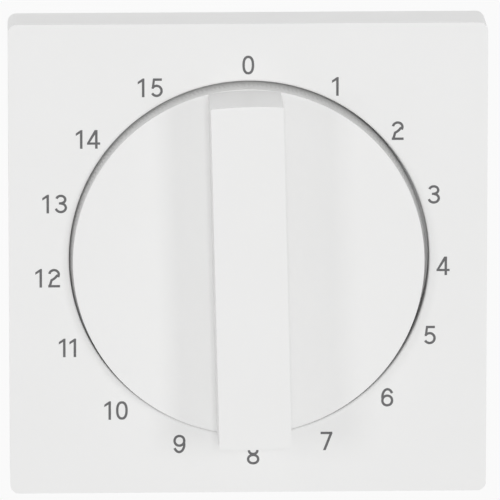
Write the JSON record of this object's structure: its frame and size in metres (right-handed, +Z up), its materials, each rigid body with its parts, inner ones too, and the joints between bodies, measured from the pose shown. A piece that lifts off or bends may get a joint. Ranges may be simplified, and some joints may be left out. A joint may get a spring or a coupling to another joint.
{
  "type": "rotary timer switch",
  "caption": "Flush-mounted rotary timer switch: square cover with a round knob and bar handle, clockwork case and leaf contacts behind it.",
  "frame": {"origin": "on the knob's axis in the wall plane, on which the support frame's feet rest", "axes": "+Y along the knob's axis into the wall, so the front faces -Y; +Z up; +X to the right as seen from the front"},
  "size_m": [0.07, 0.0552, 0.07],
  "materials": {
    "white_plastic": "smooth moulded white plastic",
    "grey_plastic": "grey moulded thermoset",
    "natural_plastic": "natural moulded plastic",
    "zinc_steel": "zinc-plated sheet steel",
    "bright_steel": "bright turned steel",
    "spring_steel": "tempered spring steel",
    "brass": "stamped and turned brass",
    "contact_bronze": "rolled bronze strip"
  },
  "bodies": {
    "base": {"cover_plate": "white_plastic", "cover_screw_left": "bright_steel", "cover_screw_right": "bright_steel", "support_frame": "zinc_steel", "case_front": "grey_plastic", "case_rear": "grey_plastic", "case_screw_1": "bright_steel", "case_screw_2": "bright_steel", "case_screw_3": "bright_steel", "case_screw_4": "bright_steel", "front_movement_plate": "brass", "rear_movement_plate": "brass", "pillar_1": "bright_steel", "pillar_2": "bright_steel", "pillar_3": "bright_steel", "spring_post": "bright_steel", "mainspring": "spring_steel", "stop_pin": "bright_steel", "blade_left": "contact_bronze", "blade_right": "contact_bronze", "contact_left": "contact_bronze", "contact_right": "contact_bronze", "terminal_1": "brass", "terminal_2": "brass", "terminal_3": "brass", "terminal_4": "brass", "terminal_screw_1": "bright_steel", "terminal_screw_2": "bright_steel", "terminal_screw_3": "bright_steel", "terminal_screw_4": "bright_steel"},
    "knob": {"knob": "white_plastic", "knob_clip": "spring_steel", "timer_shaft": "bright_steel", "main_wheel": "brass", "clutch_spring": "spring_steel", "switch_cam": "natural_plastic"},
    "second": {"second_arbor": "bright_steel", "second_wheel": "brass"},
    "third": {"third_arbor": "bright_steel", "third_wheel": "brass"},
    "escape": {"escape_arbor": "bright_steel", "escape_wheel": "brass"},
    "balance": {"pallet_arbor": "bright_steel", "pallet": "bright_steel", "balance_bar": "brass"}
  },
  "joints": [
    {"name": "knob_turn", "type": "hinge", "parent": "base", "child": "knob", "pos_m": [0, 0, 0], "axis": [0, 1, 0], "range_deg": [0, 330], "stiffness_Nm_per_rad": 0.006, "springref_deg": -103.13, "deforming": ["mainspring", "blade_left", "blade_right"]},
    {"name": "second_turn", "type": "hinge", "parent": "base", "child": "second", "pos_m": [0, 0, 0.01405], "axis": [0, 1, 0], "range_deg": [-1980, 0]},
    {"name": "third_turn", "type": "hinge", "parent": "base", "child": "third", "pos_m": [0.00816, 0, 0.01186], "axis": [0, 1, 0], "range_deg": [0, 7524]},
    {"name": "escape_turn", "type": "hinge", "parent": "base", "child": "escape", "pos_m": [0.01441, 0, 0.00662], "axis": [0, 1, 0], "range_deg": [-33105.6, 0]},
    {"name": "balance_swing", "type": "hinge", "parent": "base", "child": "balance", "pos_m": [0.01553, 0, 0.00022], "axis": [0, 1, 0], "range_deg": [-4, 4]}
  ],
  "couplings": [
    {"joint": "second_turn", "follows": "knob_turn", "ratio": -6},
    {"joint": "third_turn", "follows": "knob_turn", "ratio": 22.8},
    {"joint": "escape_turn", "follows": "knob_turn", "ratio": -100.32}
  ]
}
